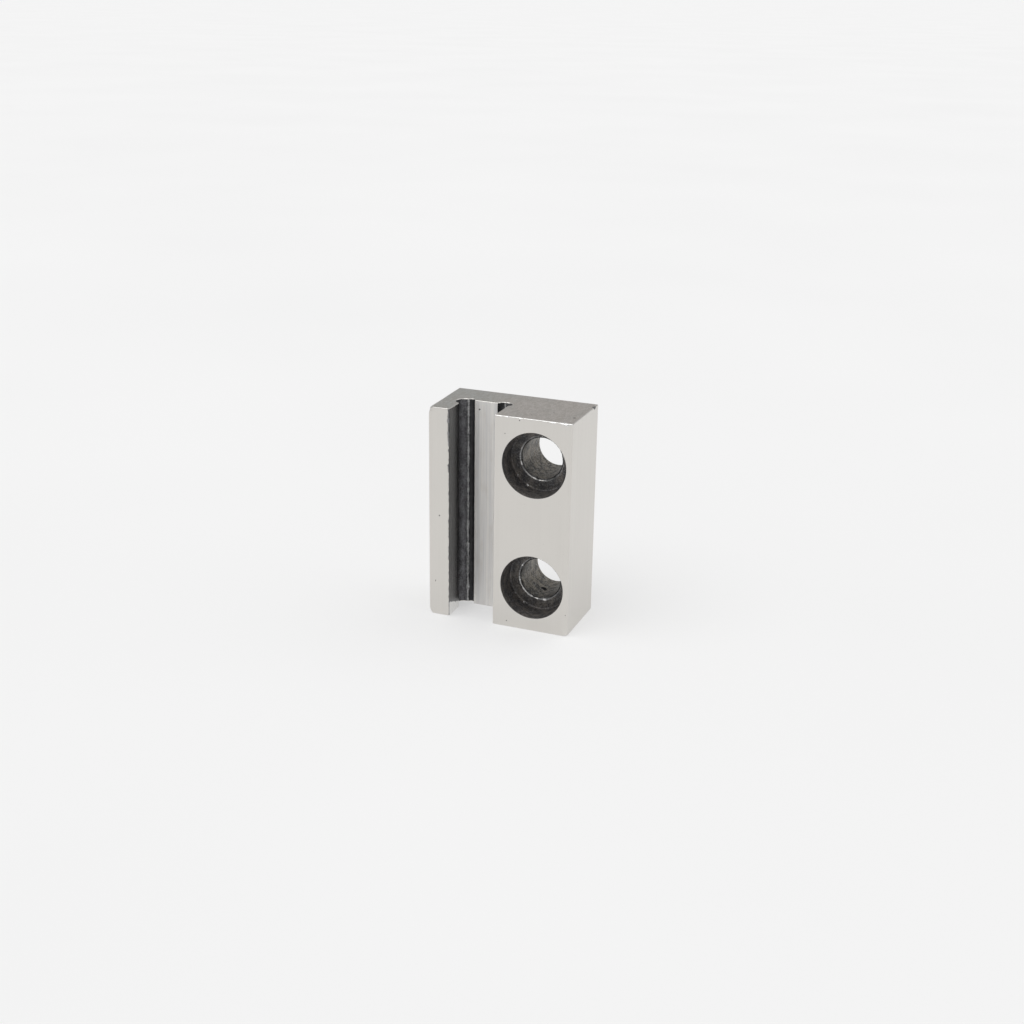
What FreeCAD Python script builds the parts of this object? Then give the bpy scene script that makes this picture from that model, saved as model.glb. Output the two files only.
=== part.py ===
"""Slotted guide block: one ground steel block with a guide slot and two counterbored bolt holes.

The block stands on one end. X runs across the front from the lip to the boss, Y runs from the
front face to the back face, Z runs along the slot. The origin is at the centre of the bottom end.
"""

import FreeCAD, Part
import os
import Sketcher

OUTPUT_FOLDER = "parts"

# Driving dimensions in millimetres. Each becomes a named cell of the spreadsheet.
DIMENSIONS = {
    # outside
    "BlockWidth": 45.5,
    "BlockDepth": 23.0,
    "BlockHeight": 67.0,
    # guide slot, open at the front and at both ends
    "LipWidth": 6.7,
    "SlotWidth": 14.6,
    "SlotDepth": 11.8,
    # relief groove beside the lip: one round cut into the lip, one into the slot floor
    "LipReliefRadius": 2.55,
    "LipReliefUndercut": 1.95,
    "LipReliefSetback": 1.9,
    "LipFloorReliefRadius": 1.2,
    "LipFloorReliefReach": 3.25,
    "LipFloorReliefSink": 0.1,
    # relief groove beside the boss, made the same way
    "BossReliefRadius": 1.85,
    "BossReliefUndercut": 0.75,
    "BossReliefSetback": 0.05,
    "BossFloorReliefRadius": 1.5,
    "BossFloorReliefReach": 3.9,
    "BossFloorReliefSink": 0.1,
    # bolt holes in the boss
    "HoleInset": 11.7,
    "HoleSpacing": 38.7,
    "BoltHoleDiameter": 13.0,
    "CounterboreDiameter": 20.0,
    "CounterboreDepth": 7.7,
    # broken edges
    "EdgeBreak": 0.3,
    "CounterboreMouthBreak": 0.1,
    "BoltHoleRimBreak": 0.5,
    "BoltHoleBackBreak": 0.6,
}

TOLERANCE = 1e-4


def make_sheet(document):
    """The spreadsheet that holds every driving dimension under its own alias."""
    sheet = document.addObject("Spreadsheet::Sheet", "Dimensions")
    for row, (alias, value) in enumerate(DIMENSIONS.items(), start=1):
        sheet.set(f"A{row}", alias)
        sheet.set(f"B{row}", str(value))
        sheet.setAlias(f"B{row}", alias)
    document.recompute()
    return sheet


def origin_plane(body, role):
    """One of the body's own origin planes, such as XY_Plane."""
    for feature in body.Origin.OriginFeatures:
        if feature.Role == role:
            return feature
    raise RuntimeError(f"the body has no origin plane {role}")


def add_sketch(body, name, role, offset=None):
    """An empty sketch on one of the body's origin planes, moved along its normal if offset is given."""
    sketch = body.newObject("Sketcher::SketchObject", name)
    sketch.AttachmentSupport = [(origin_plane(body, role), "")]
    sketch.MapMode = "FlatFace"
    if offset is not None:
        sketch.setExpression("AttachmentOffset.Base.z", offset)
    return sketch


def bind(sketch, constraint, expression):
    """Adds a named dimension to a sketch and ties it to the sheet."""
    index = sketch.addConstraint(constraint)
    name = f"Size{index}"
    sketch.renameConstraint(index, name)
    sketch.setExpression(f"Constraints.{name}", expression)


def add_rectangle(sketch, left, bottom, width, height):
    """A closed rectangle. Each of the four sizes is an expression on the sheet."""
    corners = [FreeCAD.Vector(x, y, 0) for x, y in ((0, 0), (10, 0), (10, 10), (0, 10))]
    first = sketch.GeometryCount
    for start, end in zip(corners, corners[1:] + corners[:1]):
        sketch.addGeometry(Part.LineSegment(start, end), False)
    low, right, top, side = range(first, first + 4)
    for one, other in ((low, right), (right, top), (top, side), (side, low)):
        sketch.addConstraint(Sketcher.Constraint("Coincident", one, 2, other, 1))
    for line, direction in ((low, "Horizontal"), (right, "Vertical"), (top, "Horizontal"), (side, "Vertical")):
        sketch.addConstraint(Sketcher.Constraint(direction, line))
    bind(sketch, Sketcher.Constraint("DistanceX", -1, 1, low, 1, 1.0), left)
    bind(sketch, Sketcher.Constraint("DistanceY", -1, 1, low, 1, 1.0), bottom)
    bind(sketch, Sketcher.Constraint("DistanceX", low, 1, low, 2, 10.0), width)
    bind(sketch, Sketcher.Constraint("DistanceY", right, 1, right, 2, 10.0), height)


def add_circle(sketch, centre_x, centre_y, radius):
    """A circle. Its centre and radius are expressions on the sheet."""
    circle = sketch.addGeometry(Part.Circle(FreeCAD.Vector(5, 5, 0), FreeCAD.Vector(0, 0, 1), 1), False)
    bind(sketch, Sketcher.Constraint("DistanceX", -1, 1, circle, 3, 5.0), centre_x)
    bind(sketch, Sketcher.Constraint("DistanceY", -1, 1, circle, 3, 5.0), centre_y)
    bind(sketch, Sketcher.Constraint("Radius", circle, 1.0), radius)


def add_blank(body):
    """The rectangular bar that the block is cut from, standing on its end."""
    sketch = add_sketch(body, "BarSection", "XY_Plane")
    add_rectangle(
        sketch,
        "-Dimensions.BlockWidth / 2",
        "-Dimensions.BlockDepth / 2",
        "Dimensions.BlockWidth",
        "Dimensions.BlockDepth",
    )
    bar = body.newObject("PartDesign::Pad", "Bar")
    bar.Profile = sketch
    bar.setExpression("Length", "Dimensions.BlockHeight")
    return bar


def cut_along_bar(body, sketch, name):
    """Cuts a section out of the bar over its whole height."""
    volume_before = body.Shape.Volume
    cut = body.newObject("PartDesign::Pocket", name)
    cut.Profile = sketch
    cut.Type = "Length"
    cut.Reversed = True
    cut.setExpression("Length", "Dimensions.BlockHeight")
    body.Document.recompute()
    if body.Shape.Volume >= volume_before - TOLERANCE:
        raise RuntimeError(f"{name} removed nothing")
    return cut


def cut_slot(body):
    """The guide slot between lip and boss. It starts a little in front of the face it opens on."""
    sketch = add_sketch(body, "SlotSection", "XY_Plane")
    add_rectangle(
        sketch,
        "-Dimensions.BlockWidth / 2 + Dimensions.LipWidth",
        "-Dimensions.BlockDepth",
        "Dimensions.SlotWidth",
        "Dimensions.BlockDepth / 2 + Dimensions.SlotDepth",
    )
    cut_along_bar(body, sketch, "Slot")


def cut_wall_reliefs(body):
    """The round cuts that reach sideways into the lip and into the boss."""
    floor = "-Dimensions.BlockDepth / 2 + Dimensions.SlotDepth"
    lip_wall = "-Dimensions.BlockWidth / 2 + Dimensions.LipWidth"
    sketch = add_sketch(body, "WallReliefSection", "XY_Plane")
    add_circle(
        sketch,
        f"{lip_wall} - Dimensions.LipReliefUndercut + Dimensions.LipReliefRadius",
        f"{floor} - Dimensions.LipReliefSetback",
        "Dimensions.LipReliefRadius",
    )
    add_circle(
        sketch,
        f"{lip_wall} + Dimensions.SlotWidth + Dimensions.BossReliefUndercut - Dimensions.BossReliefRadius",
        f"{floor} - Dimensions.BossReliefSetback",
        "Dimensions.BossReliefRadius",
    )
    cut_along_bar(body, sketch, "WallReliefs")


def cut_floor_reliefs(body):
    """The round cuts that reach down into the slot floor beside the lip and beside the boss."""
    floor = "-Dimensions.BlockDepth / 2 + Dimensions.SlotDepth"
    lip_wall = "-Dimensions.BlockWidth / 2 + Dimensions.LipWidth"
    sketch = add_sketch(body, "FloorReliefSection", "XY_Plane")
    add_circle(
        sketch,
        f"{lip_wall} + Dimensions.LipFloorReliefReach - Dimensions.LipFloorReliefRadius",
        f"{floor} + Dimensions.LipFloorReliefSink",
        "Dimensions.LipFloorReliefRadius",
    )
    add_circle(
        sketch,
        f"{lip_wall} + Dimensions.SlotWidth - Dimensions.BossFloorReliefReach + Dimensions.BossFloorReliefRadius",
        f"{floor} + Dimensions.BossFloorReliefSink",
        "Dimensions.BossFloorReliefRadius",
    )
    cut_along_bar(body, sketch, "FloorReliefs")


def drill_bolt_holes(body):
    """Two counterbored through-holes, one above the other, entering the boss from the front face."""
    sketch = add_sketch(body, "HoleCentres", "XZ_Plane", "Dimensions.BlockDepth / 2")
    for side in ("-", "+"):
        add_circle(
            sketch,
            "Dimensions.BlockWidth / 2 - Dimensions.HoleInset",
            f"Dimensions.BlockHeight / 2 {side} Dimensions.HoleSpacing / 2",
            "Dimensions.BoltHoleDiameter / 2",
        )
    body.Document.recompute()
    volume_before = body.Shape.Volume
    hole = body.newObject("PartDesign::Hole", "BoltHoles")
    hole.Profile = sketch
    body.Document.recompute()
    hole.ThreadType = "None"
    hole.DepthType = "ThroughAll"
    hole.HoleCutType = "Counterbore"
    hole.HoleCutCustomValues = True
    hole.setExpression("Diameter", "Dimensions.BoltHoleDiameter")
    hole.setExpression("HoleCutDiameter", "Dimensions.CounterboreDiameter")
    hole.setExpression("HoleCutDepth", "Dimensions.CounterboreDepth")
    body.Document.recompute()
    if body.Shape.Volume >= volume_before - TOLERANCE:
        raise RuntimeError("the bolt holes removed nothing")
    return hole


def edge_names(shape, wanted):
    """The names of the edges for which wanted(edge) is true."""
    return [f"Edge{n}" for n, edge in enumerate(shape.Edges, start=1) if wanted(edge)]


def break_edges(body, name, wanted, size):
    """A small 45 degree chamfer on every edge that wanted picks out."""
    base = body.Tip
    picked = edge_names(base.Shape, wanted)
    if not picked:
        raise RuntimeError(f"{name} found no edges")
    chamfer = body.newObject("PartDesign::Chamfer", name)
    chamfer.Base = (base, picked)
    chamfer.setExpression("Size", size)
    body.Document.recompute()
    return chamfer


def break_all_edges(body, sheet):
    """Breaks the rims of the holes first, then the long edges of the block and of the slot mouth."""
    half_width = float(sheet.BlockWidth) / 2
    half_depth = float(sheet.BlockDepth) / 2
    height = float(sheet.BlockHeight)
    counterbore_floor = float(sheet.CounterboreDepth) - half_depth
    counterbore_radius = float(sheet.CounterboreDiameter) / 2
    bolt_hole_radius = float(sheet.BoltHoleDiameter) / 2

    def is_rim(radius, y):
        def test(edge):
            if edge.Curve.TypeId != "Part::GeomCircle" or edge.BoundBox.YLength > TOLERANCE:
                return False
            at_y = abs(edge.BoundBox.YMin - y) < TOLERANCE
            return at_y and abs(edge.Curve.Radius - radius) < TOLERANCE

        return test

    def is_upright_outside(edge):
        box = edge.BoundBox
        on_front_or_back = abs(abs(box.Center.y) - half_depth) < TOLERANCE
        return box.ZLength > height - TOLERANCE and on_front_or_back

    def is_end_outline(edge):
        box = edge.BoundBox
        on_end = box.ZLength < TOLERANCE and min(abs(box.ZMin), abs(box.ZMin - height)) < TOLERANCE
        on_side = abs(abs(box.Center.x) - half_width) < TOLERANCE
        on_back = abs(box.Center.y - half_depth) < TOLERANCE
        on_front = abs(box.Center.y + half_depth) < TOLERANCE
        return on_end and (on_side or on_back or on_front)

    rims = (
        ("CounterboreMouths", counterbore_radius, -half_depth, "CounterboreMouthBreak"),
        ("BoltHoleRims", bolt_hole_radius, counterbore_floor, "BoltHoleRimBreak"),
        ("BoltHoleBacks", bolt_hole_radius, half_depth, "BoltHoleBackBreak"),
    )
    for name, radius, y, size in rims:
        break_edges(body, name, is_rim(radius, y), f"Dimensions.{size}")
    break_edges(
        body,
        "OuterEdges",
        lambda edge: is_upright_outside(edge) or is_end_outline(edge),
        "Dimensions.EdgeBreak",
    )


def make_guide_block(document, sheet):
    """The whole block: bar, slot, relief grooves, bolt holes, broken edges."""
    body = document.addObject("PartDesign::Body", "GuideBlock")
    body.Label = "guide_block"
    body.Placement = FreeCAD.Placement()
    add_blank(body)
    document.recompute()
    cut_slot(body)
    cut_wall_reliefs(body)
    cut_floor_reliefs(body)
    drill_bolt_holes(body)
    break_all_edges(body, sheet)
    return body


def check_document(document):
    """Stops if any object of the document failed to compute."""
    for thing in document.Objects:
        if {"Invalid", "Error"} & set(thing.State):
            raise RuntimeError(f"{thing.Name} is {thing.State}")


def export_part(part):
    """Writes one sub-part to its own STEP file, named after its label."""
    if part.Shape.isNull() or not part.Shape.isValid():
        raise RuntimeError(f"{part.Label} has no valid shape")
    part.Shape.exportStep(os.path.join(OUTPUT_FOLDER, f"{part.Label}.step"))
    box = part.Shape.BoundBox
    size = f"{box.XLength:.2f} x {box.YLength:.2f} x {box.ZLength:.2f} mm"
    print(f"{part.Label}: {size}, {len(part.Shape.Solids)} solid, {part.Shape.Volume:.0f} mm3")


def main():
    os.makedirs(OUTPUT_FOLDER, exist_ok=True)
    document = FreeCAD.newDocument("GuideBlock")
    sheet = make_sheet(document)
    parts = [make_guide_block(document, sheet)]
    document.recompute()
    check_document(document)
    for part in parts:
        export_part(part)


main()
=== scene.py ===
"""Slotted guide block: one ground steel block with an oxide-black slot relief and two counterbored holes.

The block is its cross section carried up along Z in thin rings, so that edges can be broken unevenly,
grooves can be rough and ends can be worn. Small pits and then the two holes are cut out of it.
Sizes are in millimetres, in the frame's axes: X and Y from the block's middle, Z from its bottom end.
"""
import math

import bpy
from mathutils import Matrix, Vector, noise


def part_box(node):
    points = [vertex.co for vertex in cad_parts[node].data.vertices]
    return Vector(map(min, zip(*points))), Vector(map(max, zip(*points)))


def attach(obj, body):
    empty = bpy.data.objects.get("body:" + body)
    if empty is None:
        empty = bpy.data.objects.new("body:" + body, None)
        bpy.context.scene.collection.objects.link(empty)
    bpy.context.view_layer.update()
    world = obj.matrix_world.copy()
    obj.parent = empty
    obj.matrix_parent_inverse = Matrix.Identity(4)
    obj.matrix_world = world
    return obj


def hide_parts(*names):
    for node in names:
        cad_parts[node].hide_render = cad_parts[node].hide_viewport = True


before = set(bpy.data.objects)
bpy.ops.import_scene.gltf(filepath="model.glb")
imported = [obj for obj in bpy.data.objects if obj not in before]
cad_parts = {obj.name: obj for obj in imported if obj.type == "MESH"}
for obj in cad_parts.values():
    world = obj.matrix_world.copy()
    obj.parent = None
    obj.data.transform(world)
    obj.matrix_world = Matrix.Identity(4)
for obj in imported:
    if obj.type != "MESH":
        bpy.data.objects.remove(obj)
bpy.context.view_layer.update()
MM = 0.001

NODE = "guide_block"
low, high = (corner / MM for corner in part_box(NODE))
LEFT, FRONT, BOTTOM = low
RIGHT, BACK, TOP = high
HEIGHT = TOP - BOTTOM


# ---------------------------------------------------------------- sizes of the section, mm
LIP_WIDTH = 6.7
SLOT_WIDTH = 14.6
SLOT_DEPTH = 11.8
LIP_WALL = LEFT + LIP_WIDTH
BOSS_WALL = LIP_WALL + SLOT_WIDTH
SLOT_FLOOR = FRONT + SLOT_DEPTH
# centre x, centre y and radius of the four cutter passes that make the corner reliefs
LIP_WALL_LOBE = (LIP_WALL + 0.6, SLOT_FLOOR - 1.9, 2.55)
LIP_FLOOR_LOBE = (LIP_WALL + 2.05, SLOT_FLOOR + 0.1, 1.20)
BOSS_FLOOR_LOBE = (BOSS_WALL - 2.4, SLOT_FLOOR + 0.1, 1.5)
BOSS_WALL_LOBE = (BOSS_WALL - 1.1, SLOT_FLOOR - 0.05, 1.85)

HOLE_X = RIGHT - 11.7
HOLE_Z = (BOTTOM + 14.15, BOTTOM + 52.85)
BOLT_RADIUS = 6.4
BORE_RADIUS = 10.0
BORE_DEPTH = 7.7
MOUTH_BREAK = 0.1
RIM_BREAK = 0.5
BACK_BREAK = 0.6

BORE_FILLET = 0.45  # between the counterbore's wall and its floor
CUTTER_OUTSIDE = 0.6  # how far each hole's cutter sticks out of the block
HOLE_SEGMENTS = 160
BRIGHT_TURN = math.radians(240)  # the inner rims are rubbed bright on this side, and carry a painted highlight there

RING_STEP = 0.35
END_STEPS = 5
END_BREAK = 0.25
# cutters are turned by a share of a step, so that none of their points lies in a plane of the block
HOLE_TURN = 0.37
PIT_TURN = 0.29

GROOVE_ROUGHNESS = 0.06
TORN_GAIN = 1.1  # how much rougher the grooves get where they are worst torn


# ---------------------------------------------------------------- noise helpers
def rough(x, y, z, size, octaves=3):
    """Fractal noise from about -1 to 1, with features about size millimetres across."""
    return noise.fractal(Vector((x, y, z)) / size, 0.9, 2.1, octaves) * 1.2


def smooth_step(value, start, end):
    """0 before start, 1 after end, and a smooth ramp between; works in both directions."""
    t = min(max((value - start) / (end - start), 0.0), 1.0)
    return t * t * (3 - 2 * t)


def bump_at(value, centre, half_width):
    """A bell of height 1 at centre that is gone half_width away."""
    return 1 - smooth_step(abs(value - centre), 0, half_width)


# ---------------------------------------------------------------- the cross section
class Line:
    def __init__(self, start, end, zone, count):
        self.start, self.end, self.zone, self.count = Vector(start), Vector(end), zone, count
        self.length = (self.end - self.start).length

    def at(self, s):
        return self.start.lerp(self.end, s / self.length)


class Arc:
    """A clockwise arc, which is how the outline runs round a relief."""

    def __init__(self, lobe, start, end, zone, count):
        x, y, self.radius = lobe
        self.centre, self.zone, self.count = Vector((x, y)), zone, count
        first = Vector(start) - self.centre
        last = Vector(end) - self.centre
        self.first = math.atan2(first.y, first.x)
        sweep = (self.first - math.atan2(last.y, last.x)) % math.tau
        self.length = sweep * self.radius

    def at(self, s):
        a = self.first - s / self.radius
        return self.centre + self.radius * Vector((math.cos(a), math.sin(a)))


def meet_x(lobe, x):
    """Where the front side of a lobe crosses the line at x."""
    return (x, lobe[1] - math.sqrt(lobe[2] ** 2 - (x - lobe[0]) ** 2))


def meet_y(lobe, y, side):
    """Where a lobe crosses the line at y, on its left (-1) or right (+1)."""
    return (lobe[0] + side * math.sqrt(lobe[2] ** 2 - (y - lobe[1]) ** 2), y)


def meet_lobes(a, b):
    """The point further back where two lobes cross."""
    pa, pb = Vector(a[:2]), Vector(b[:2])
    span = (pb - pa).length
    along = (span**2 + a[2] ** 2 - b[2] ** 2) / (2 * span)
    across = math.sqrt(a[2] ** 2 - along**2)
    way = (pb - pa) / span
    found = [pa + way * along + across * side * Vector((-way.y, way.x)) for side in (1, -1)]
    return max(found, key=lambda p: p.y)


def grown(lobe, inset):
    return (lobe[0], lobe[1], lobe[2] + inset)


def section(inset):
    """The outline's segments, counter-clockwise seen from above, moved into the metal by inset."""
    left, right = LEFT + inset, RIGHT - inset
    front, back = FRONT + inset, BACK - inset
    lip_wall, boss_wall = LIP_WALL - inset, BOSS_WALL + inset
    floor = SLOT_FLOOR + inset
    lobe_a, lobe_b, lobe_c, lobe_d = (
        grown(lobe, inset) for lobe in (LIP_WALL_LOBE, LIP_FLOOR_LOBE, BOSS_FLOOR_LOBE, BOSS_WALL_LOBE)
    )
    wall_end = meet_x(lobe_a, lip_wall)
    lip_ridge = meet_lobes(lobe_a, lobe_b)
    floor_start = meet_y(lobe_b, floor, 1)
    floor_end = meet_y(lobe_c, floor, -1)
    boss_ridge = meet_lobes(lobe_c, lobe_d)
    boss_end = meet_x(lobe_d, boss_wall)
    return [
        Line((right, back), (left, back), "face", 3),
        Line((left, back), (left, front), "face", 8),
        Line((left, front), (lip_wall, front), "face", 4),
        Line((lip_wall, front), wall_end, "wall", 6),
        Arc(lobe_a, wall_end, lip_ridge, "groove", 26),
        # the floor lobes (here and two lines down) get the darker groove oxide: painted shade in the hollow
        Arc(lobe_b, lip_ridge, floor_start, "painted_shade_groove", 18),
        Line(floor_start, floor_end, "floor", 4),
        Arc(lobe_c, floor_end, boss_ridge, "painted_shade_groove", 18),
        Arc(lobe_d, boss_ridge, boss_end, "groove", 22),
        Line(boss_end, (boss_wall, front), "wall", 6),
        Line((boss_wall, front), (right, front), "face", 56),
        Line((right, front), (right, back), "face", 24),
    ]


# corner before each segment: name, how far the break reaches along each side, how unevenly, steps
CORNERS = [
    ("back_right", 0.30, 0.15, 4),
    ("back_left", 0.30, 0.15, 4),
    ("front_left", 0.30, 0.20, 5),
    ("lip_edge", 0.15, 0.80, 5),
    ("lip_relief_edge", 0.12, 0.50, 4),
    ("lip_ridge", 0.40, 0.60, 7),
    ("land_left", 0.10, 0.60, 4),
    ("land_right", 0.10, 0.60, 4),
    ("boss_ridge", 0.20, 0.50, 6),
    ("boss_relief_edge", 0.12, 0.50, 4),
    ("boss_edge", 0.14, 0.50, 5),
    ("front_right", 0.28, 0.20, 5),
]
RIDGES = ("lip_ridge", "boss_ridge")
ROUGH_ZONES = ("groove", "painted_shade_groove", "ridge")
# these edges get lighter steel than the other edges: a painted highlight along them
BRIGHT_EDGES = ("lip_edge", "land_left")
LIP_CORNER_WEAR = 1.1  # how far the lip's outer edge is knocked back at its two ends
LIP_WEAR_START = TOP - 11  # above this height the lip's inner edge is worn wider
CHIP_Y = FRONT + 19.6  # a chip in the top edge of the outer side
NEAR_RIGHT = RIGHT - 0.2  # points to the right of this are on the outer side


def lip_nick(z):
    """How deep the small chips along the lip's inner edge are: more of them over the upper two thirds."""
    share = 0.3 + 0.7 * smooth_step(z, TOP - 50, TOP - 40)
    return max(0.0, rough(9.1, 4.2, z, 1.2, 3) - 0.05) * share


def corner_break(index, z):
    """How far the edge break of one long corner reaches at height z."""
    name, size, uneven, _ = CORNERS[index]
    value = size * (1 + uneven * rough(3.7 * index, 1.3, z, 1.6, 4))
    if name == "front_left":
        near_top = smooth_step(z, TOP - 1.4, TOP)
        near_bottom = 0.8 * smooth_step(z, BOTTOM + 1.2, BOTTOM)
        value += LIP_CORNER_WEAR * max(near_top, near_bottom)
    elif name == "front_right":
        value += 0.6 * smooth_step(z, BOTTOM + 1.4, BOTTOM)
    elif name == "lip_edge":
        value += 0.5 * lip_nick(z)
        value += 0.3 * smooth_step(z, LIP_WEAR_START - 1, LIP_WEAR_START + 2)
    return max(value, 0.04)


def torn_share(z):
    """How badly the relief was torn by the cutter at height z: worst below the middle."""
    return smooth_step(z, BOTTOM + 38, BOTTOM + 30) * smooth_step(z, BOTTOM + 8, BOTTOM + 14)


def corner_zone(name, z):
    # the ridges get a lighter, partly rubbed oxide: real wear, and partly a painted highlight along the cusp;
    # the specks are worn spots and partly painted glints
    if name == "lip_ridge" and torn_share(z) > 0.3 and rough(5.0, 1.0, z, 0.5, 3) > 0.25:
        return "ridge_speck"
    if name in RIDGES:
        return "ridge"
    if name == "front_right":
        return "face"
    if name == "lip_edge" and (z > LIP_WEAR_START or lip_nick(z) > 0.12):
        return "worn_edge"
    return "bright_edge" if name in BRIGHT_EDGES else "edge"


def outline(z, inset):
    """The section's points at height z, and the zone of the stretch that follows each point."""
    segments = section(inset)
    breaks = [corner_break(i, z) for i in range(len(segments))]
    points, zones = [], []
    for i, segment in enumerate(segments):
        after = (i + 1) % len(segments)
        start, end = breaks[i], segment.length - breaks[after]
        for j in range(segment.count + 1):
            points.append(segment.at(start + (end - start) * j / segment.count))
            zones.append(segment.zone)
        name, steps = CORNERS[after][0], CORNERS[after][3]
        zones[-1] = corner_zone(name, z)
        a, tip, b = points[-1], segment.at(segment.length), segments[after].at(breaks[after])
        for j in range(1, steps):
            t = j / steps
            points.append((1 - t) ** 2 * a + 2 * t * (1 - t) * tip + t * t * b)
            zones.append(zones[-1])
    return points, zones


def displaced(points, zones, z):
    """The outline with the grooves' torn, scaly surface pushed along its normals."""
    moved = []
    count = len(points)
    for i, p in enumerate(points):
        before, after = points[i - 1], points[(i + 1) % count]
        near = (zones[i - 1], zones[i])
        amount = sum(GROOVE_ROUGHNESS if zone in ROUGH_ZONES else 0.0 for zone in near) / 2
        if amount:
            along = (after - before).normalized()
            outward = Vector((along.y, -along.x))
            fine = rough(p.x, p.y, z, 0.7, 4)
            coarse = rough(p.x + 40, p.y, z * 0.5, 2.2, 2)
            torn = 1 + TORN_GAIN * torn_share(z)
            p = p + outward * amount * torn * (0.6 * fine + 0.5 * coarse - 0.15)
        moved.append(p)
    return moved


def end_break(p, top):
    """How far the break of an end edge reaches at the outline point p."""
    value = END_BREAK * (1 + 0.3 * rough(p.x, p.y, 7.0 if top else -7.0, 1.3, 3))
    on_front = p.y < FRONT + 0.6
    on_boss = p.x > BOSS_WALL - 0.1
    on_left = smooth_step(p.x, LEFT + 1.4, LEFT)
    toward_front = smooth_step(p.y, BACK, FRONT)
    if top:
        value += 0.7 * on_left * toward_front
        if p.x > NEAR_RIGHT:
            value += 0.7 * bump_at(p.y, CHIP_Y, 1.2)
        if on_front and on_boss:
            burr = rough(p.x, 2.0, 3.0, 1.05, 3)
            dent = bump_at(p.x, RIGHT - 2.0, 1.6)
            value = 0.20 + 0.90 * max(0.0, burr + 0.03) + 0.8 * dent
    else:
        value += 0.8 * on_left * smooth_step(p.y, FRONT + 4, FRONT)
        on_right = smooth_step(p.x, RIGHT - 1.2, RIGHT)
        value += 0.5 * on_right * smooth_step(p.y, FRONT + 1.6, FRONT)
    return max(value, 0.05)


# ---------------------------------------------------------------- meshes
ZONES = [
    "face", "end", "floor", "wall", "groove", "painted_shade_groove", "edge", "bright_edge", "worn_edge",
    "ridge", "ridge_speck", "bore", "bore_floor", "bolt", "rim", "dull_rim", "bright_rim",
    "speck", "pit", "faint_pit",
]


class Shell:
    """Collects vertices in millimetres and faces with their zone."""

    def __init__(self):
        self.points, self.faces, self.zones = [], [], []

    def ring(self, points):
        first = len(self.points)
        self.points.extend(points)
        return range(first, len(self.points))

    def face(self, corners, zone):
        self.faces.append(tuple(corners))
        self.zones.append(ZONES.index(zone))

    def bridge(self, low_ring, high_ring, zones):
        count = len(low_ring)
        for i in range(count):
            j = (i + 1) % count
            self.face((low_ring[i], low_ring[j], high_ring[j], high_ring[i]), zones[i])

    def make(self, name):
        mesh = bpy.data.meshes.new(name)
        mesh.from_pydata([Vector(p) * MM for p in self.points], [], self.faces)
        mesh.polygons.foreach_set("material_index", self.zones)
        mesh.update()
        return mesh


def block_shell():
    """The block without its holes: full rings up the height, and rounded edges at both ends."""
    shell = Shell()
    rings = round(HEIGHT / RING_STEP)
    levels = [BOTTOM + HEIGHT * k / rings for k in range(rings + 1)]
    layers = []

    def end_layers(top):
        z_end = TOP if top else BOTTOM
        toward = 1 if top else -1
        points, zones = outline(z_end, 0.0)
        inner, _ = outline(z_end, END_BREAK)
        points, inner = displaced(points, zones, z_end), displaced(inner, zones, z_end)
        reach = [end_break(p, top) for p in points]
        made = []
        for k in range(1, END_STEPS + 1):
            a = math.pi / 2 * k / END_STEPS
            layer = []
            for p, q, e in zip(points, inner, reach):
                xy = p + (q - p) * (e / END_BREAK) * (1 - math.cos(a))
                layer.append((xy.x, xy.y, z_end - toward * e * (1 - math.sin(a))))
            made.append(layer)
        return made, reach, zones

    low_layers, low_reach, zones = end_layers(False)
    high_layers, high_reach, _ = end_layers(True)
    for z in levels:
        points, zones = outline(z, 0.0)
        points = displaced(points, zones, z)
        share = (z - BOTTOM) / HEIGHT
        layer = []
        for p, e_low, e_high in zip(points, low_reach, high_reach):
            start, end = BOTTOM + e_low, TOP - e_high
            layer.append((p.x, p.y, start + (end - start) * share))
        layers.append(layer)

    low_zones = ["edge"] * len(zones)
    high_zones = ["edge"] * len(zones)
    for i, p in enumerate(outline(TOP, 0.0)[0]):
        if p.x > NEAR_RIGHT and abs(p.y - CHIP_Y) < 0.9:
            high_zones[i] = "worn_edge"
        elif p.x > BOSS_WALL and p.y < FRONT + 0.2:
            # the boss's top front edge gets the lighter steel too: a painted highlight along the burr
            high_zones[i] = "bright_edge"
    built = [shell.ring(layer) for layer in reversed(low_layers)]
    shell.face(reversed(built[0]), "end")
    for lower, upper in zip(built, built[1:]):
        shell.bridge(lower, upper, low_zones)
    previous, previous_zones = built[-1], low_zones
    for layer in layers:
        ring = shell.ring(layer)
        shell.bridge(previous, ring, previous_zones)
        previous, previous_zones = ring, zones
    for layer in high_layers:
        ring = shell.ring(layer)
        shell.bridge(previous, ring, high_zones)
        previous = ring
    shell.face(previous, "end")
    return shell


def steps(start, end, count):
    """The count values after start that lead evenly to end."""
    return [start + (end - start) * k / count for k in range(1, count + 1)]


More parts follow.
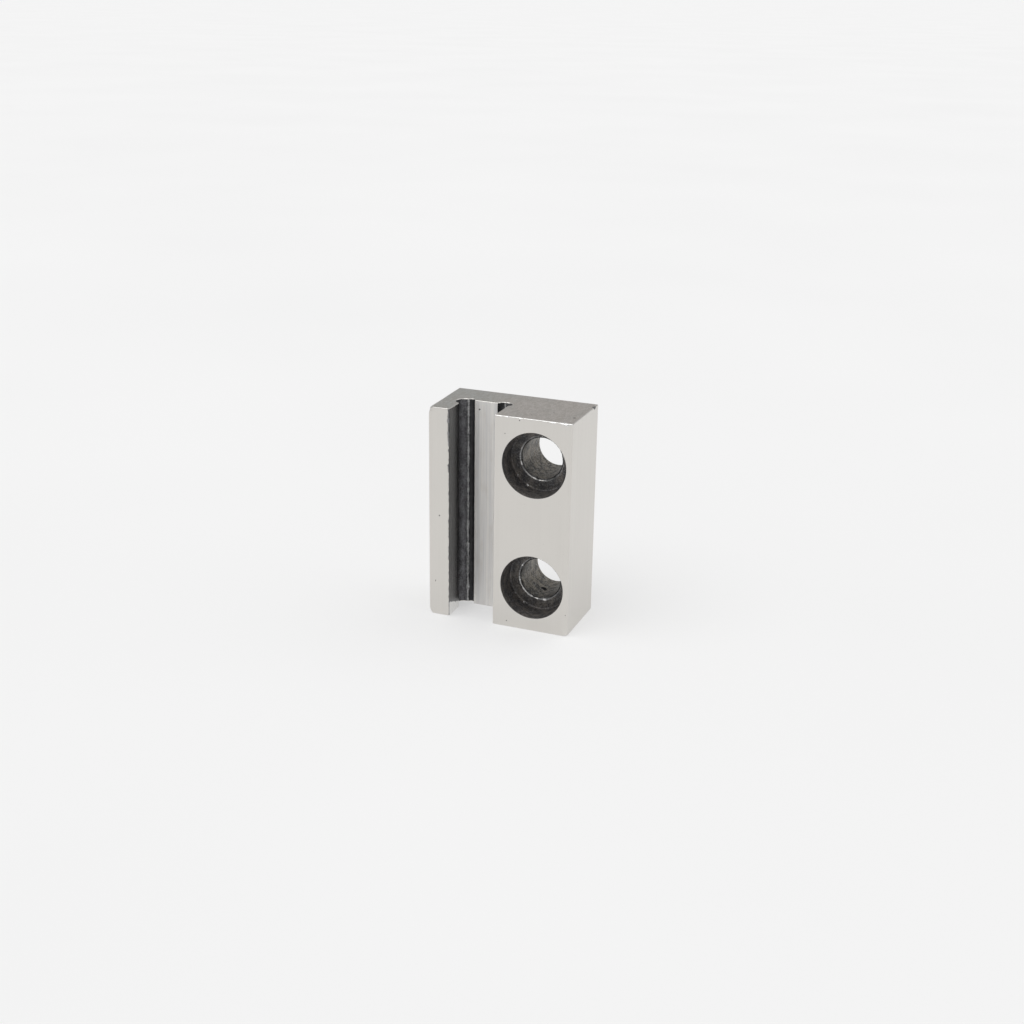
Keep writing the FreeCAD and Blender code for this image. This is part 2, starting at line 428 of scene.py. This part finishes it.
def hole_profile(bore_depth):
    """Depth, radius and zone down one hole, from outside the front face to outside the back face."""
    through = BACK - FRONT
    mouth_radius = BORE_RADIUS + MOUTH_BREAK
    floor_radius = BORE_RADIUS - BORE_FILLET
    rim_radius = BOLT_RADIUS + RIM_BREAK
    back_radius = BOLT_RADIUS + BACK_BREAK
    profile = [
        (-CUTTER_OUTSIDE, mouth_radius + CUTTER_OUTSIDE, "rim"),
        (0.0, mouth_radius, "rim"),
        (MOUTH_BREAK, BORE_RADIUS, "bore"),
    ]
    profile += [(d, BORE_RADIUS, "bore") for d in steps(MOUTH_BREAK, bore_depth - BORE_FILLET, 26)]
    for k in (1, 2, 3):
        a = math.pi / 2 * k / 4
        depth = bore_depth - BORE_FILLET * (1 - math.sin(a))
        profile.append((depth, BORE_RADIUS - BORE_FILLET * (1 - math.cos(a)), "bore"))
    profile.append((bore_depth, floor_radius, "bore_floor"))
    profile += [(bore_depth, r, "bore_floor") for r in steps(floor_radius, rim_radius + 0.1, 10)]
    profile[-1] = (bore_depth, rim_radius + 0.1, "bright_rim")
    profile.append((bore_depth + 0.05, rim_radius - 0.05, "bright_rim"))
    # from here to the bolt hole the inner chamfer takes the dark rim oxide: painted shade on the chamfer
    profile.append((bore_depth + 0.20, rim_radius - 0.22, "rim"))
    profile.append((bore_depth + RIM_BREAK, BOLT_RADIUS, "bolt"))
    profile += [(d, BOLT_RADIUS, "bolt") for d in steps(bore_depth + RIM_BREAK, through - BACK_BREAK, 42)]
    profile[-1] = (through - BACK_BREAK, BOLT_RADIUS, "rim")
    profile.append((through, back_radius, "rim"))
    profile.append((through + CUTTER_OUTSIDE, back_radius + CUTTER_OUTSIDE, "rim"))
    return profile


def turn_from(angle, centre):
    """The signed turn from centre to angle, from minus half to plus half a turn."""
    return (angle - centre + math.pi) % math.tau - math.pi


def add_hole(shell, z, seed, dents, nick_angle=None, bore_depth=BORE_DEPTH, drift=0.0):
    """One counterbored hole's cutter, with boring rings, drill marks, dents and an uneven inner rim.

    A dent is its angle, depth down the hole, reach and height, with the zone that its middle gets.
    Drift is how far the bolt hole has wandered to the left of the counterbore.
    """
    profile = hole_profile(bore_depth)
    rings, rows = [], []
    for depth, radius, zone in profile:
        points, zones = [], []
        for i in range(HOLE_SEGMENTS):
            a = -math.tau * (i + HOLE_TURN) / HOLE_SEGMENTS
            c, s = math.cos(a), math.sin(a)
            r, d, cell = radius, depth, zone
            if zone == "bore":
                r += 0.010 * math.sin(math.tau * depth / 1.1)
                r += 0.03 * rough(8 * c + seed, depth, 8 * s, 1.0, 4)
            elif zone == "bore_floor":
                d += 0.02 * rough(radius * 3 + seed, 5 * c, 5 * s, 0.9, 4)
            elif zone == "bolt":
                twist = depth / 1.7 - a / math.tau
                r += 0.012 * math.sin(math.tau * twist)
                r += 0.07 * rough(6 * c, depth + seed, 6 * s, 0.7, 4)
            elif zone == "bright_rim":
                wear = 0.12 * rough(5 * c, seed, 5 * s, 0.9, 4)
                # the side of each inner rim that catches the light gets the bright rim oxide: a painted
                # highlight, with real wear in it
                shine = 0.9 * bump_at(turn_from(a, BRIGHT_TURN), 0, 1.1)
                shine += 0.5 * rough(2.5 * c, seed, 2.5 * s, 1.0, 3)
                cell = "bright_rim" if shine > 0.30 else "dull_rim"
                if nick_angle is not None:
                    wear += 0.45 * bump_at(turn_from(a, nick_angle), 0, 0.12)
                r += min(max(wear, -0.12), 0.45)
            for dent_angle, dent_depth, reach, height, dent_zone in dents:
                # along the counterbore's floor, distance goes on inward instead of deeper
                travel = depth + BORE_RADIUS - radius if zone == "bore_floor" else depth
                around = turn_from(a, math.radians(dent_angle)) * radius
                away = math.hypot(around, travel - dent_depth)
                if zone in ("bore", "bore_floor", "bolt") and away < reach:
                    r += height * bump_at(away, 0, reach)
                    cell = dent_zone if away < 0.75 * reach else cell
            x = HOLE_X - drift * smooth_step(depth, bore_depth - 0.1, bore_depth)
            points.append((x + r * c, FRONT + d, z + r * s))
            zones.append(cell)
        rings.append(shell.ring(points))
        rows.append(zones)
    for row in range(len(rings) - 1):
        shell.bridge(rings[row], rings[row + 1], rows[row])
    shell.face(reversed(rings[0]), "end")
    shell.face(rings[-1], "end")


def add_pit(shell, centre, radius, squash, zone, seed):
    """A small ragged blob whose shape is cut out of the surface."""
    around, stacks = 12, 7
    rings = []
    for k in range(1, stacks):
        polar = math.pi * k / stacks
        points = []
        for i in range(around):
            a = math.tau * (i + PIT_TURN) / around
            flat = math.sin(polar)
            way = Vector((flat * math.cos(a), flat * math.sin(a), -math.cos(polar)))
            r = radius * (1 + 0.35 * noise.noise(way * 1.7 + Vector((seed, seed, 0))))
            points.append(tuple(centre[n] + way[n] * r * squash[n] for n in range(3)))
        rings.append(shell.ring(points))
    poles = shell.ring([
        (centre[0], centre[1], centre[2] - radius * squash[2]),
        (centre[0], centre[1], centre[2] + radius * squash[2]),
    ])
    for lower, upper in zip(rings, rings[1:]):
        shell.bridge(lower, upper, [zone] * around)
    for i in range(around):
        j = (i + 1) % around
        shell.face((poles[0], rings[0][j], rings[0][i]), zone)
        shell.face((poles[1], rings[-1][i], rings[-1][j]), zone)


# blemishes: x from the lip's outer side, y from the front face, z from the bottom end, radius, shape, zone
ROUND, FLAT_Y, FLAT_Z = (1, 1, 1), (1, 0.6, 1), (1, 1, 0.6)
PITS = [
    (3.5, -0.03, 32.9, 0.26, FLAT_Y, "faint_pit"),
    (11.5, 11.77, 64.3, 0.28, FLAT_Y, "faint_pit"),
    (29.1, -0.03, 66.2, 0.20, FLAT_Y, "faint_pit"),
    (24.6, -0.03, 61.7, 0.16, FLAT_Y, "faint_pit"),
    (25.9, -0.03, 1.9, 0.20, FLAT_Y, "faint_pit"),
    (44.9, -0.03, 7.0, 0.14, FLAT_Y, "faint_pit"),
    (2.1, -0.02, 11.2, 0.18, (0.8, 0.4, 1.6), "pit"),
    (43.7, 6.4, 67.03, 0.34, (1.2, 1, 0.6), "pit"),
    (36.4, 9.1, 67.03, 0.22, FLAT_Z, "pit"),
    (31.2, 4.4, 67.03, 0.18, FLAT_Z, "pit"),
    (39.5, 22.93, 67.04, 0.30, ROUND, "pit"),
]


def pit_shell():
    shell = Shell()
    for number, (x, y, z, radius, squash, zone) in enumerate(PITS):
        add_pit(shell, (LEFT + x, FRONT + y, BOTTOM + z), radius, squash, zone, 7.3 * number)
    return shell


# dents in the two holes: angle, depth, reach, height, zone
UPPER_DENTS = [
    (243.9, 7.0, 0.60, 0.20, "speck"),
    (220.3, 7.1, 0.50, 0.15, "speck"),
    (207.0, 6.6, 0.40, 0.10, "dull_rim"),
]
LOWER_DENTS = [
    (240.0, 7.1, 0.55, 0.18, "speck"),
    (216.4, 7.1, 0.45, 0.15, "speck"),
    (257.6, 14.8, 1.10, 0.35, "pit"),
    (264.0, 14.2, 0.80, 0.30, "pit"),
]


def hole_shell():
    shell = Shell()
    add_hole(shell, HOLE_Z[1], 3.0, UPPER_DENTS, bore_depth=7.4, drift=0.25)
    add_hole(shell, HOLE_Z[0], 11.0, LOWER_DENTS, nick_angle=math.radians(-74))
    return shell


def cut(mesh, cutter_mesh):
    """mesh with cutter_mesh taken out of it, as a new mesh."""
    target = bpy.data.objects.new("target", mesh)
    tool = bpy.data.objects.new("tool", cutter_mesh)
    for item in (target, tool):
        bpy.context.scene.collection.objects.link(item)
    modifier = target.modifiers.new("cut", "BOOLEAN")
    modifier.operation = "DIFFERENCE"
    modifier.solver = "EXACT"
    modifier.object = tool
    modifier.material_mode = "INDEX"
    evaluated = target.evaluated_get(bpy.context.evaluated_depsgraph_get())
    result = bpy.data.meshes.new_from_object(evaluated)
    for item in (target, tool):
        bpy.data.objects.remove(item)
    return result


FLAT_ZONES = {ZONES.index(name) for name in ("face", "end", "floor", "wall")}


def build_block(materials):
    block = block_shell().make("block")
    holes = hole_shell().make("holes")
    pits = pit_shell().make("pits")
    for mesh in (block, holes, pits):
        for name in ZONES:
            mesh.materials.append(materials[name])
    mesh = cut(cut(block, pits), holes)
    mesh.name = "guide_block_body"
    for polygon in mesh.polygons:
        polygon.use_smooth = polygon.material_index not in FLAT_ZONES
    mesh.set_sharp_from_angle(angle=math.radians(38))
    piece = bpy.data.objects.new("guide_block_body", mesh)
    bpy.context.scene.collection.objects.link(piece)
    return piece


# ---------------------------------------------------------------- materials
class Shader:
    """A Principled material and short ways to add nodes to it. Positions are in millimetres."""

    def __init__(self, name):
        self.material = bpy.data.materials.new(name)
        self.material.use_nodes = True
        self.tree = self.material.node_tree
        self.surface = self.tree.nodes["Principled BSDF"]
        coordinates = self.tree.nodes.new("ShaderNodeTexCoord")
        self.place = self.scaled(coordinates.outputs["Object"], (1 / MM,) * 3)

    def node(self, kind, inputs, **settings):
        made = self.tree.nodes.new(kind)
        for key, value in settings.items():
            setattr(made, key, value)
        for key, value in inputs.items():
            if isinstance(value, bpy.types.NodeSocket):
                self.tree.links.new(value, made.inputs[key])
            else:
                made.inputs[key].default_value = value
        return made

    def scaled(self, vector, scale):
        return self.node("ShaderNodeVectorMath", {0: vector, 1: scale}, operation="MULTIPLY").outputs[0]

    def noise(self, scale, detail, roughness):
        """Noise of the place, whose features are 1 / scale millimetres long on each axis."""
        vector = self.scaled(self.place, scale)
        inputs = {"Vector": vector, "Scale": 1.0, "Detail": detail, "Roughness": roughness}
        return self.node("ShaderNodeTexNoise", inputs).outputs["Fac"]

    def math(self, operation, a, b, clamp=False):
        return self.node("ShaderNodeMath", {0: a, 1: b}, operation=operation, use_clamp=clamp).outputs[0]

    def range(self, value, low_in, high_in, low_out=0.0, high_out=1.0):
        """value carried from the first span to the second, and held at the ends."""
        spans = {"From Min": low_in, "From Max": high_in, "To Min": low_out, "To Max": high_out}
        return self.node("ShaderNodeMapRange", {"Value": value, **spans}).outputs["Result"]

    def mix(self, share, a, b):
        made = self.node("ShaderNodeMix", {"Factor": share}, data_type="RGBA")
        for socket, value in ((made.inputs["A"], a), (made.inputs["B"], b)):
            self.feed(socket, value)
        return next(s for s in made.outputs if s.type == "RGBA")

    def feed(self, socket, value):
        if isinstance(value, bpy.types.NodeSocket):
            self.tree.links.new(value, socket)
        elif isinstance(value, tuple) and len(value) == 3 and socket.type == "RGBA":
            socket.default_value = (*value, 1.0)
        else:
            socket.default_value = value

    def bump(self, height, depth_mm):
        inputs = {"Height": height, "Distance": depth_mm * MM, "Strength": 1.0}
        return self.node("ShaderNodeBump", inputs).outputs["Normal"]

    def set(self, **values):
        for key, value in values.items():
            self.feed(self.surface.inputs[key.replace("_", " ")], value)
        return self.material


STEEL = (0.690, 0.668, 0.632)
STEEL_LIGHT = (0.72, 0.70, 0.67)
STEEL_DULL = (0.52, 0.50, 0.47)
PLAIN = (1.0, 1.0, 1.0)
RUSTY = (1.10, 1.0, 0.86)  # leans the patches of an oxide towards brown


def shaded(tint, factor):
    return tuple(min(1.0, c * factor) for c in tint)


def ground_steel(name, grain, roughness, tint=STEEL):
    """Ground steel: fine lines along one axis, with faint cloudy stains and a few tiny dark specks."""
    streak, depth, cloud_share = 0.012, 0.0015, 0.06
    shader = Shader(name)
    fine = shader.noise(grain, 3.0, 0.6)
    broad = shader.noise(tuple(g * 0.22 for g in grain), 2.0, 0.5)
    cloud = shader.noise((0.09, 0.09, 0.06), 3.0, 0.5)
    speck = shader.noise((2.2, 2.2, 2.2), 1.0, 0.5)
    lines = shader.math("ADD", shader.math("MULTIPLY", fine, 0.6), shader.math("MULTIPLY", broad, 0.4))
    colour = shader.mix(shader.range(lines, 0.3, 0.7), shaded(tint, 1 - streak), shaded(tint, 1 + streak))
    colour = shader.mix(shader.range(cloud, 0.40, 0.70, 0.0, cloud_share), colour, STEEL_DULL)
    colour = shader.mix(shader.range(speck, 0.80, 0.86, 0.0, 0.5), colour, (0.20, 0.19, 0.18))
    value = shader.range(lines, 0.3, 0.7, roughness + 0.04, roughness - 0.04)
    return shader.set(Base_Color=colour, Metallic=1.0, Roughness=value, Normal=shader.bump(lines, depth))


def end_steel():
    """The sawn and milled ends: duller, mottled warm and cool, with fine marks in all directions."""
    shader = Shader("end_steel")
    across = shader.node("ShaderNodeSeparateXYZ", {0: shader.place}).outputs["X"]
    cloud = shader.noise((0.16, 0.10, 0.16), 4.0, 0.6)
    mottle = shader.noise((0.9, 0.45, 0.9), 5.0, 0.7)
    grain = shader.noise((2.6, 1.1, 2.6), 3.0, 0.7)
    marks = shader.noise((0.8, 5.0, 1.0), 3.0, 0.6)
    toward_boss = shader.range(across, LEFT + 8, LEFT + 26)
    warm = shader.math("ADD", toward_boss, shader.range(cloud, 0.35, 0.65, -0.4, 0.4), clamp=True)
    colour = shader.mix(warm, (0.590, 0.600, 0.578), (0.700, 0.655, 0.618))
    colour = shader.mix(shader.range(mottle, 0.40, 0.60, 0.55, 0.0), colour, (0.46, 0.435, 0.395))
    colour = shader.mix(shader.range(grain, 0.42, 0.60, 0.35, 0.0), colour, (0.42, 0.40, 0.37))
    colour = shader.mix(shader.range(grain, 0.60, 0.72, 0.0, 0.6), colour, (0.80, 0.79, 0.76))
    value = shader.range(mottle, 0.4, 0.6, 0.48, 0.36)
    height = shader.math("ADD", shader.math("MULTIPLY", grain, 0.6), shader.math("MULTIPLY", marks, 0.4))
    return shader.set(Base_Color=colour, Metallic=1.0, Roughness=value, Normal=shader.bump(height, 0.02))


def land_steel():
    """The slot's ground floor: vertical grinding lines, warm and cool, that scatter light sideways."""
    shader = Shader("slot_floor_steel")
    fine = shader.noise((7.0, 7.0, 0.03), 3.0, 0.65)
    broad = shader.noise((1.1, 1.1, 0.015), 2.0, 0.5)
    stain = shader.noise((0.5, 0.5, 0.12), 3.0, 0.6)
    lines = shader.math("ADD", shader.math("MULTIPLY", fine, 0.6), shader.math("MULTIPLY", broad, 0.4))
    colour = shader.mix(shader.range(lines, 0.38, 0.62), (0.775, 0.757, 0.742), (0.930, 0.908, 0.870))
    colour = shader.mix(shader.range(broad, 0.35, 0.65, 0.25, 0.0), colour, (0.62, 0.64, 0.66))
    colour = shader.mix(shader.range(stain, 0.50, 0.75, 0.0, 0.25), colour, (0.60, 0.54, 0.46))
    value = shader.range(lines, 0.38, 0.62, 0.55, 0.45)
    return shader.set(Base_Color=colour, Metallic=0.45, Roughness=value, Normal=shader.bump(lines, 0.012))


def slot_wall():
    """The slot's side walls: a painted dark reflection of the shaded slot, and a painted reflection of the
    floor along the bottom.
    """
    shader = Shader("slot_wall_steel")
    axes = shader.node("ShaderNodeSeparateXYZ", {0: shader.place}).outputs
    lines = shader.noise((3.0, 3.0, 0.05), 3.0, 0.6)
    ragged = shader.noise((1.6, 1.6, 1.6), 3.0, 0.6)
    # painted reflection of the floor: below a slanting line, higher towards the front, the wall is painted
    # bright
    reach = shader.range(axes["Y"], FRONT, FRONT + 7.2, 4.7, 2.3)
    tooth = shader.range(ragged, 0.3, 0.7, -0.35, 0.35)
    edge = shader.math("ADD", shader.math("SUBTRACT", reach, axes["Z"]), tooth)
    wear_and_painted_reflection = shader.range(edge, -0.07, 0.07)
    # painted dark reflection of the shaded slot, with faint grinding lines in it
    dark = shader.mix(shader.range(lines, 0.3, 0.7), (0.155, 0.155, 0.158), (0.205, 0.205, 0.205))
    colour = shader.mix(wear_and_painted_reflection, dark, (0.86, 0.85, 0.83))
    value = shader.range(lines, 0.3, 0.7, 0.30, 0.20)
    return shader.set(Base_Color=colour, Metallic=1.0, Roughness=value, Normal=shader.bump(lines, 0.003))


def oxide(name, tint, roughness, grain_size, depth, metallic=0.4, worn=0.0, contrast=1.0, warm=PLAIN):
    """Black oxide scale with a grainy surface. Where worn is set, it is rubbed through to steel in places."""
    shader = Shader(name)
    grain = shader.noise((1 / grain_size,) * 3, 5.0, 0.65)
    patch = shader.noise((0.6, 0.6, 0.3), 4.0, 0.6)
    dots = shader.noise((2.6, 2.6, 2.0), 2.0, 0.5)
    brown = tuple(t * w * (1 + 0.35 * contrast) for t, w in zip(tint, warm))
    colour = shader.mix(shader.range(patch, 0.38, 0.62), shaded(tint, 1 - 0.35 * contrast), brown)
    colour = shader.mix(shader.range(grain, 0.52, 0.64, 0.0, 0.5 * contrast), colour, shaded(tint, 2.2))
    colour = shader.mix(shader.range(grain, 0.46, 0.36, 0.0, 0.7 * contrast), colour, shaded(tint, 0.35))
    colour = shader.mix(shader.range(dots, 0.36, 0.30, 0.0, 0.8), colour, shaded(tint, 0.3))
    if worn:
        wear_and_painted_reflection = shader.range(grain, 0.70 - worn, 0.78 - worn)
        colour = shader.mix(wear_and_painted_reflection, colour, STEEL_DULL)
    return shader.set(
        Base_Color=colour,
        Metallic=metallic,
        Roughness=shader.range(grain, 0.3, 0.7, roughness - 0.08, roughness + 0.08),
        Normal=shader.bump(grain, depth),
    )


def all_materials():
    """One material for each zone."""
    upright, even = (5.0, 5.0, 0.05), (3.0, 3.0, 3.0)
    bright = (0.86, 0.85, 0.83)
    # the second groove colour is the groove oxide darkened: painted shade on the reliefs' floor lobes
    groove, painted_shade_groove = (0.122, 0.121, 0.128), (0.040, 0.040, 0.043)
    # the bore wall is painted a little lighter than the counterbore floor: painted light that offsets the
    # shade the wall gets from the hole's dark inside
    bore, bore_floor, bolt = (0.125, 0.123, 0.128), (0.108, 0.107, 0.111), (0.172, 0.169, 0.163)
    rim, dull_rim, bright_rim = (0.10, 0.10, 0.10), (0.24, 0.24, 0.24), (0.62, 0.61, 0.60)
    pit, faint_pit = (0.030, 0.030, 0.032), (0.20, 0.195, 0.19)
    ridge, ridge_speck, worn_edge = (0.33, 0.33, 0.33), (0.55, 0.55, 0.55), (0.22, 0.22, 0.22)
    return {
        "face": ground_steel("ground_steel", upright, 0.34),
        "end": end_steel(),
        "floor": land_steel(),
        "wall": slot_wall(),
        "groove": oxide("groove_oxide", groove, 0.50, 0.40, 0.06, contrast=1.2),
        "painted_shade_groove": oxide("painted_shade_groove_oxide", painted_shade_groove, 0.55, 0.40, 0.06),
        "edge": ground_steel("edge_steel", even, 0.30, STEEL_LIGHT),
        # lighter edge steel: a painted highlight
        "bright_edge": ground_steel("bright_edge_steel", even, 0.30, bright),
        "worn_edge": oxide("worn_edge_oxide", worn_edge, 0.40, 0.4, 0.02, metallic=0.8),
        # lighter ridge oxides: wear, and partly a painted highlight
        "ridge": oxide("ridge_oxide", ridge, 0.45, 0.45, 0.04, metallic=0.7, worn=0.04, contrast=1.2),
        "ridge_speck": oxide(
            "ridge_speck_oxide", ridge_speck, 0.36, 0.35, 0.03, metallic=0.9, worn=0.10, contrast=1.2
        ),
        "bore": oxide("bore_oxide", bore, 0.50, 0.50, 0.03, contrast=1.3, warm=RUSTY),
        "bore_floor": oxide("bore_floor_oxide", bore_floor, 0.50, 0.50, 0.03, contrast=1.3, warm=RUSTY),
        "bolt": oxide("bolt_hole_oxide", bolt, 0.42, 0.55, 0.05, metallic=0.7, contrast=1.9, warm=RUSTY),
        # rim oxide, darker than the bolt hole's: painted shade on the holes' chamfers
        "rim": oxide("rim_oxide", rim, 0.45, 0.4, 0.02, metallic=0.6),
        "dull_rim": oxide("rim_dull_oxide", dull_rim, 0.36, 0.6, 0.02, metallic=0.8, worn=0.05, contrast=1.2),
        # bright rim oxide: worn through to steel in places, and partly a painted highlight
        "bright_rim": oxide(
            "rim_worn_and_highlight_oxide", bright_rim, 0.30, 0.8, 0.02, metallic=0.9, worn=0.14, contrast=0.8
        ),
        "speck": ground_steel("speck_steel", even, 0.30, (0.80, 0.80, 0.80)),
        "pit": oxide("pit_oxide", pit, 0.6, 0.2, 0.02),
        "faint_pit": oxide("faint_pit_oxide", faint_pit, 0.6, 0.2, 0.02, metallic=0.6),
    }


# ---------------------------------------------------------------- the block
piece = build_block(all_materials())
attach(piece, "root")
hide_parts(NODE)


# ---------------------------------------------------------------- floor, light and camera
FLOOR_SIZE = 30.0  # metres, half its width
FLOOR_GAP = 0.02  # mm under the block, so that the two surfaces don't share a plane
FLOOR_GLOW = 0.47  # the floor is a light table, so that the sides just above it aren't dark


def pale_floor():
    size = FLOOR_SIZE
    mesh = bpy.data.meshes.new("floor")
    corners = [(-size, -size, 0), (size, -size, 0), (size, size, 0), (-size, size, 0)]
    mesh.from_pydata(corners, [], [(0, 1, 2, 3)])
    shader = Shader("lit_floor")
    cloud = shader.noise((0.004, 0.004, 0.004), 2.0, 0.5)
    colour = shader.mix(shader.range(cloud, 0.3, 0.7), (0.44, 0.44, 0.44), (0.46, 0.46, 0.46))
    shader.surface.inputs["Emission Strength"].default_value = FLOOR_GLOW
    mesh.materials.append(shader.set(Base_Color=colour, Roughness=0.9, Emission_Color=(1.0, 1.0, 1.0)))
    floor = bpy.data.objects.new("floor", mesh)
    floor.location.z = (low.z - FLOOR_GAP) * MM
    bpy.context.scene.collection.objects.link(floor)


def direction(azimuth, elevation):
    """Unit vector towards a place seen at this azimuth (0 is the front, 90 the right) and elevation."""
    a, e = math.radians(azimuth), math.radians(elevation)
    return Vector((math.sin(a) * math.cos(e), -math.cos(a) * math.cos(e), math.sin(e)))


def add_sun(name, azimuth, elevation, strength, angle):
    light = bpy.data.lights.new(name, "SUN")
    light.energy, light.angle = strength, math.radians(angle)
    item = bpy.data.objects.new(name, light)
    item.rotation_euler = direction(azimuth, elevation).to_track_quat("Z", "Y").to_euler()
    bpy.context.scene.collection.objects.link(item)


def studio():
    world = bpy.data.worlds.new("studio")
    bpy.context.scene.world = world
    world.use_nodes = True
    background = world.node_tree.nodes["Background"]
    background.inputs["Color"].default_value = (1.0, 1.0, 1.0, 1)
    background.inputs["Strength"].default_value = 0.48
    add_sun("key", -35, 62, 1.1, 50)
    add_sun("fill", 120, 55, 0.55, 60)
    bpy.context.scene.view_settings.view_transform = "Standard"


def main_camera():
    """Looks at the block's middle from its front right, a little from above, and tilted slightly."""
    azimuth, elevation, roll = 21.388, 20.241, math.radians(0.882)
    distance, lens = 0.441995, 50.65
    aim_right, aim_up = -0.000077, -0.000452  # metres off the block's middle
    centre = (Vector(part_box(NODE)[0]) + Vector(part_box(NODE)[1])) / 2
    back = direction(azimuth, elevation)
    turn = math.radians(azimuth)
    level = Vector((math.cos(turn), math.sin(turn), 0))
    upright = back.cross(level)
    right = level * math.cos(roll) + upright * math.sin(roll)
    up = upright * math.cos(roll) - level * math.sin(roll)
    data = bpy.data.cameras.new("camera")
    data.lens, data.sensor_width = lens, 36.0
    camera = bpy.data.objects.new("camera", data)
    place = centre + back * distance + right * aim_right + up * aim_up
    camera.matrix_world = Matrix.Translation(place) @ Matrix((right, up, back)).transposed().to_4x4()
    bpy.context.scene.collection.objects.link(camera)
    bpy.context.scene.camera = camera


pale_floor()
studio()
main_camera()
